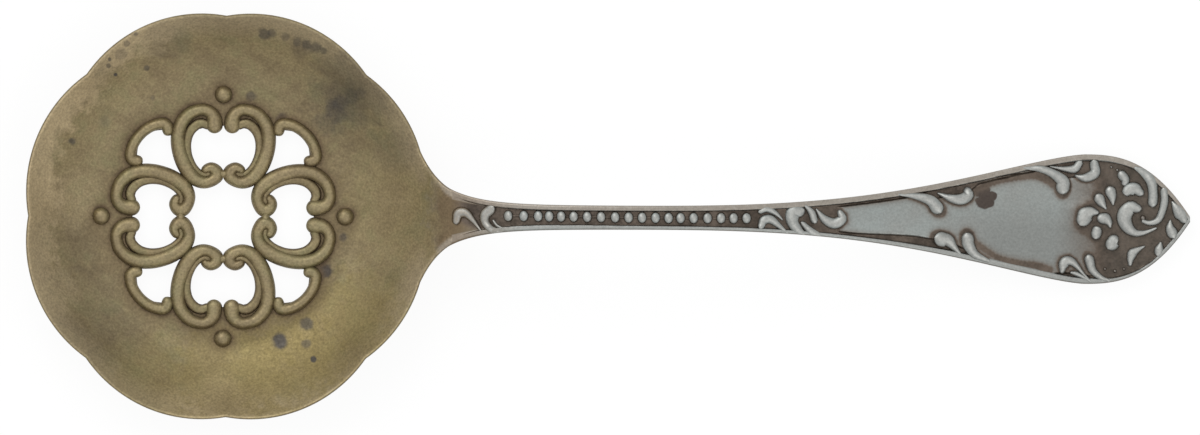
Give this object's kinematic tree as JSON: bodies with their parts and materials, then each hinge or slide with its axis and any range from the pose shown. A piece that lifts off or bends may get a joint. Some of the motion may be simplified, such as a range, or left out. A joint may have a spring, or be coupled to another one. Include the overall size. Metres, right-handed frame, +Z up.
{
  "type": "bonbon spoon",
  "caption": "Small serving spoon with a shallow scalloped gilt bowl pierced by a scroll rosette, and a silver handle with a beaded stem and leaf ornament.",
  "frame": {"origin": "on the table under the middle of the spoon's length", "axes": "+X from the bowl to the handle's tip, +Z up out of the bowl"},
  "size_m": [0.1164, 0.0406, 0.0108],
  "materials": {
    "gilt": "worn gilding, satin, with tarnish spots",
    "silver": "silver plate, worn satin, dark oxide in the recesses"
  },
  "bodies": {
    "root": {"beaded_wire": "silver", "collar_comma_leaf": "silver", "collar_leaf_lower": "silver", "collar_leaf_upper": "silver", "collar_scroll": "silver", "collar_scroll_tail": "silver", "collar_sprig": "silver", "corner_scroll_1": "gilt", "corner_scroll_2": "gilt", "corner_scroll_3": "gilt", "corner_scroll_4": "gilt", "handle_blank": "silver", "neck_leaf": "silver", "neck_scroll": "silver", "neck_scroll_leaf": "silver", "panel_leaf_lower_1": "silver", "panel_leaf_lower_2": "silver", "panel_leaf_upper_1": "silver", "panel_leaf_upper_2": "silver", "pierced_bowl": "gilt", "rosette_pearl_1": "gilt", "rosette_pearl_2": "gilt", "rosette_pearl_3": "gilt", "rosette_pearl_4": "gilt", "rosette_scroll_1": "gilt", "rosette_scroll_2": "gilt", "rosette_scroll_3": "gilt", "rosette_scroll_4": "gilt", "rosette_scroll_5": "gilt", "rosette_scroll_6": "gilt", "rosette_scroll_7": "gilt", "rosette_scroll_8": "gilt", "shoulder_leaf_lower_1": "silver", "shoulder_leaf_lower_2": "silver", "shoulder_leaf_upper_1": "silver", "shoulder_leaf_upper_2": "silver", "shoulder_scroll_upper": "silver", "shoulder_sprig_lower": "silver", "tip_crescent": "silver", "tip_edge_leaf_1": "silver", "tip_edge_leaf_2": "silver", "tip_edge_leaf_3": "silver", "tip_hook_leaf": "silver", "tip_long_leaf": "silver", "tip_petal_1": "silver", "tip_petal_2": "silver", "tip_petal_3": "silver", "tip_petal_4": "silver", "tip_petal_5": "silver", "tip_petal_6": "silver", "tip_petal_7": "silver", "tip_scroll": "silver", "tip_scroll_stem": "silver"}
  },
  "joints": []
}
